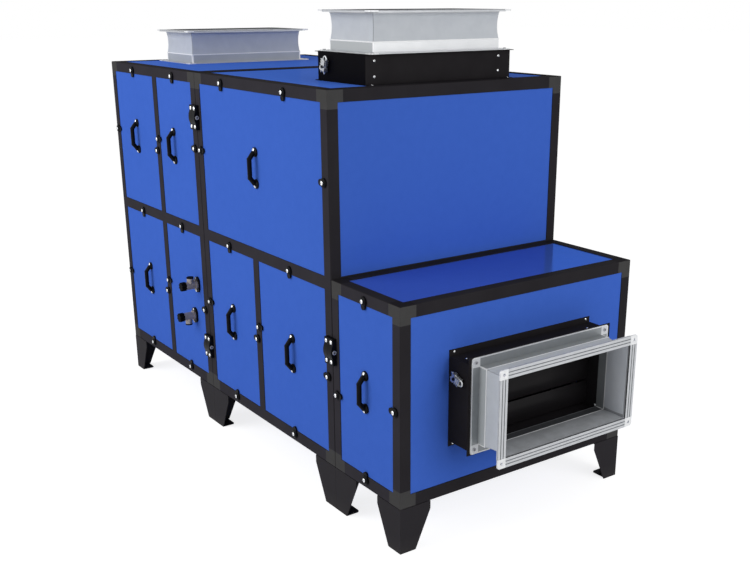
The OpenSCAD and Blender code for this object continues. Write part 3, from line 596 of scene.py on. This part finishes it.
# Fabric sleeves: coated glass cloth between collar and outer flange, stretched a little
# hollow, with a seam down each corner, a paler lining and painted shade on the end one's floor.
# Folded strips of zinc clench it to the collar, outside and inside.
thread_turns, shaded_floor_z = 2 * math.pi / 0.0022, 0.3560
sleeve_cloth, s, w = new_finish(
    "sleeve_cloth", Specular_IOR_Level=0.15, Sheen_Weight=0.1, Sheen_Roughness=0.5)
across, along = own_map(w, "cut")
from_seam, lining = own_map(w, "seam")
(at_z,) = own_place(w, "Z")
thread = w.math("SINE", across * thread_turns) * 0.5 + 0.5
weft = w.math("SINE", along * thread_turns) * 0.5 + 0.5
crease = grain(w, 30.0, 4.0)
seam = fade(from_seam, 0.0006, 0.0018, 1.0)
# painted shade: the lining's floor inside the end sleeve is painted darker
dust_and_floor_shade = lining * (at_z < shaded_floor_z) * (0.45 + crease * 0.5)
cloth = tinted(crease * 0.7 + thread * 0.3, rgb(188, 193, 200), rgb(210, 214, 219))
cloth = tinted(lining * 0.5, cloth, rgb(226, 230, 238))
cloth = tinted(dust_and_floor_shade, cloth, rgb(132, 134, 136))
tinted(seam * 0.6, cloth, rgb(110, 114, 120)).feeds(s["Base Color"])
(0.62 + crease * 0.16).feeds(s["Roughness"])
raised(thread * 0.5 + weft * 0.3 + crease * 0.3, 0.0003, 0.4).feeds(s["Normal"])


def round_box(half_w, half_h, corner, runs=40, arc=8):
    """A rounded rectangle as points by arc length, closed on its first point: straight runs
    joined by quarter circles. Also each point's length along it, the way it moves when the
    outline swells, and its distance from the nearest corner."""
    half, on_side = np.array([half_w, half_h]), corner + 0.0001
    turn = np.linspace(0, np.pi / 2, 2 * arc + 1)
    quarters = np.arange(4) * np.pi / 2
    around = turn[None, :] + quarters[:, None]
    diagonal = quarters + np.pi / 4
    core = np.sign(np.stack([np.cos(diagonal), np.sin(diagonal)], 1)) * (half - corner)
    bends = core[:, None] + corner * np.stack([np.cos(around), np.sin(around)], -1)
    share = np.linspace(0, 1, runs + 2)[1:-1, None]
    gone = np.roll(bends[:, 0], -1, axis=0) - bends[:, -1]
    straights = bends[:, -1][:, None] + share * gone[:, None]
    ring = np.concatenate([bends, straights], axis=1).reshape(-1, 2)
    ring = np.concatenate([ring, ring[:1]])
    step = np.linalg.norm(np.diff(ring, axis=0), axis=1)
    length = np.concatenate([[0.0], np.cumsum(step)])
    tips = np.concatenate([bends[:, arc], bends[:1, arc]])
    gap = np.linalg.norm(ring[:, None] - tips[None], axis=-1).min(axis=1)
    swell = ring / half
    facing = np.where(np.abs(swell) > 1 - on_side / half, np.sign(swell), swell)
    return ring, length, facing, gap


def fabric_sleeve(name, origin, outward):
    """A rectangular sleeve: a rounded rectangle carried along the duct, its half sizes drawn
    in by sag * (1 - u^2) between its ends, with a shallow ripple of a sine round it that dies
    out at the corners. Outer wall, inner wall and both ends make one closed surface."""
    half_w, half_h, corner, thick = 0.2512, 0.1237, 0.0030, 0.0015
    sag, ripple, waves, slant, calm = 0.0040, 0.0004, 31.0, 2.2, 0.06
    start, end, rows = 0.0346, 0.1174, 25
    outward, across_way = np.array(outward, float), np.array([0.0, 1.0, 0.0])
    up_way = np.cross(outward, across_way)
    ring, length, facing, gap = round_box(half_w, half_h, corner)
    u = np.linspace(-1, 1, rows)
    u, inner = np.concatenate([u, u[::-1], u[:1]]), np.repeat([0.0, 1.0, 0.0], [rows, rows, 1])
    wave = ripple * np.sin(length[None] * waves + slant * u[:, None]) * np.minimum(gap / calm, 1.0)
    drawn = (wave - sag) * (1 - u[:, None] ** 2) - thick * inner[:, None]
    flat = ring[None] + facing[None] * drawn[..., None]
    x = np.broadcast_to((start + (u + 1) / 2 * (end - start))[:, None], drawn.shape)
    points = origin + x[..., None] * outward + flat[..., :1] * across_way + flat[..., 1:] * up_way
    side = np.broadcast_to(inner[:, None], x.shape)
    maps = {
        "cut": np.stack([np.broadcast_to(length, x.shape), x], -1),
        "seam": np.stack([np.broadcast_to(gap, x.shape), side], -1),
    }
    piece = lay_grid(name, points[None], sleeve_cloth, maps, around=False)
    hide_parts("connector_sleeves")


end_damper_x, top_damper_z = 2165.0, 1445.0
connectors = [
    ("end_sleeve", spots((end_damper_x, duct_y, end_duct_z))[0], to_end),
    ("mid_top_sleeve", spots((mid_duct_x, duct_y, top_damper_z))[0], to_top),
    ("rear_top_sleeve", spots((rear_duct_x, duct_y, roof_z))[0], to_top),
]
for name, origin, outward in connectors:
    fabric_sleeve(name, origin, outward)

hem_zinc, s, w = new_finish("hem_zinc")
smear = grain(w, 60.0, 3.0)
tinted(smear, rgb(232, 234, 236), rgb(248, 249, 250)).feeds(s["Base Color"])
(0.05 + smear * 0.1).feeds(s["Metallic"])
(0.34 + smear * 0.14).feeds(s["Roughness"])
raised(smear, 0.0001, 0.3).feeds(s["Normal"])


def clenched_hems():
    """Folded strips, one outside and one inside each collar: a small D-shaped section of
    (x, rise) carried round the rounded rectangle of the collar's mouth."""
    middle, half_strip, height, corner = 0.0340, 0.0022, 0.0010, 0.0020
    outside, inside = (0.2514, 0.1239, 1.0), (0.2499, 0.1224, -0.8)
    across_way = np.array([0.0, 1.0, 0.0])
    bend = np.linspace(0, np.pi, 9)
    section = np.stack([middle - half_strip * np.cos(bend), height * np.sin(bend) ** 0.5], 1)
    section = np.concatenate([section, section[:1]])
    strips = []
    for half_w, half_h, rise in (outside, inside):
        ring, _, facing, _ = round_box(half_w, half_h, corner)
        flat = ring[None] + rise * facing[None] * section[:, 1][:, None, None]
        for _, origin, outward in connectors:
            up_way = np.cross(outward, across_way)
            x = section[:, 0][:, None, None] * np.array(outward, float)
            strips.append(origin + x + flat[..., :1] * across_way + flat[..., 1:] * up_way)
    lay_grid("collar_hems", np.stack(strips), hem_zinc, {}, around=False)


clenched_hems()

# Flange bolts: small dull zinc socket bolts through the inner flanges' corners, into the
# damper's flange or the roof panel.
flange_bolt = socket_head * [0.75, 0.8, 1.0]
bolt_y, bolt_h, bar = 265.0, 137.5, 3.0
seats = spots(
    *[(end_damper_x + bar, duct_y + a * bolt_y, end_duct_z + b * bolt_h) for a, b in corners])
turned_heads("end_flange_bolts", seats, to_end, flange_bolt, finish=dull_zinc)
roof_flanges = [(mid_duct_x, top_damper_z + bar), (rear_duct_x, roof_z + bar)]
seats = spots(
    *[(x + a * bolt_h, duct_y + b * bolt_y, z) for x, z in roof_flanges for a, b in corners])
turned_heads("top_flange_bolts", seats, to_top, flange_bolt, finish=dull_zinc)

# Damper wall screws: one small pale round-headed screw in a corner of each damper's far
# inner wall, driven into the drive chamber's plate.
far_wall, from_middle, before_flange = 720.0, 118.7, 3.8
seats = spots(
    (end_damper_x - before_flange, far_wall, end_duct_z - from_middle),
    (mid_duct_x + from_middle, far_wall, top_damper_z - before_flange))
wall_screw = domed(radius=3.6, sink=0.3, rim=0.8, rise=2.0)
turned_heads("damper_wall_screws", seats, service_side, wall_screw, finish=hem_zinc)

# Studio: a pale floor that keeps a soft shadow, an even white surround and two large
# soft lamps, with the camera at the photograph's place.


def seen_straight(wire):
    """1 for rays from the camera, off a gloss or through glass, 0 for light that falls on
    the object."""
    camera_ray, gloss_ray, glass_ray = (
        wire.node("ShaderNodeLightPath", out="Is %s Ray" % kind)
        for kind in ("Camera", "Glossy", "Transmission"))
    return wire.math("MAXIMUM", wire.math("MAXIMUM", camera_ray, gloss_ray), glass_ray)


floor_paint = bpy.data.materials.new("studio_floor")
floor_paint.use_nodes = True
floor_paint.node_tree.nodes.clear()
w = Wire(floor_paint.node_tree)
shaded = w.node("ShaderNodeBsdfDiffuse", (), {"Color": (0.50, 0.50, 0.50, 1)})
glow = w.node("ShaderNodeEmission", (), {"Color": (1, 1, 1, 1), "Strength": 0.81})
pale = w.node("ShaderNodeAddShader", (), {0: shaded, 1: glow})
plain = w.node("ShaderNodeBsdfDiffuse", (), {"Color": (0.75, 0.75, 0.75, 1)})
mixed = w.node("ShaderNodeMixShader", (), {0: seen_straight(w), 1: plain, 2: pale})
w.node("ShaderNodeOutputMaterial", (), {0: mixed})
reach = 40
floor_mesh = bpy.data.meshes.new("studio_floor")
floor_mesh.from_pydata(
    [(-reach, -reach, 0), (reach, -reach, 0), (reach, reach, 0), (-reach, reach, 0)],
    [], [(0, 1, 2, 3)])
floor_mesh.materials.append(floor_paint)
floor = bpy.data.objects.new("studio_floor", floor_mesh)
bpy.context.collection.objects.link(floor)

world = bpy.data.worlds.new("studio")
bpy.context.scene.world = world
world.use_nodes = True
w = Wire(world.node_tree)
surround = world.node_tree.nodes["Background"].inputs
surround["Color"].default_value = (1, 1, 1, 1)
(0.40 + seen_straight(w) * 0.60).feeds(surround["Strength"])

for name, place, aim, size, power in [
    ("service_softbox", (-1.2, -4.7, 2.7), (0.0, 0.0, 0.7), 4.0, 150.0),
    ("end_softbox", (4.9, 0.8, 2.0), (0.6, 0.0, 0.8), 3.2, 92.0),
]:
    lamp = bpy.data.lights.new(name, "AREA")
    lamp.shape, lamp.size, lamp.energy = "SQUARE", size, power
    holder = bpy.data.objects.new(name, lamp)
    bpy.context.collection.objects.link(holder)
    way = np.array(aim) - np.array(place)
    tilt = math.acos(-way[2] / np.linalg.norm(way))
    holder.location = place
    holder.rotation_euler = (tilt, 0, math.atan2(-way[0], way[1]))

look_down, heading = 18.7045, 54.171
lens = bpy.data.cameras.new("photo_camera")
lens.sensor_width, lens.lens = 36.0, 48.849
lens.shift_x, lens.shift_y = -0.03933, 0.08008
camera = bpy.data.objects.new("photo_camera", lens)
bpy.context.collection.objects.link(camera)
camera.location = (3.1479, -2.0209, 1.6093)
camera.rotation_euler = (math.radians(90 - look_down), 0, math.radians(heading))
bpy.context.scene.camera = camera
bpy.context.scene.view_settings.view_transform = "Standard"
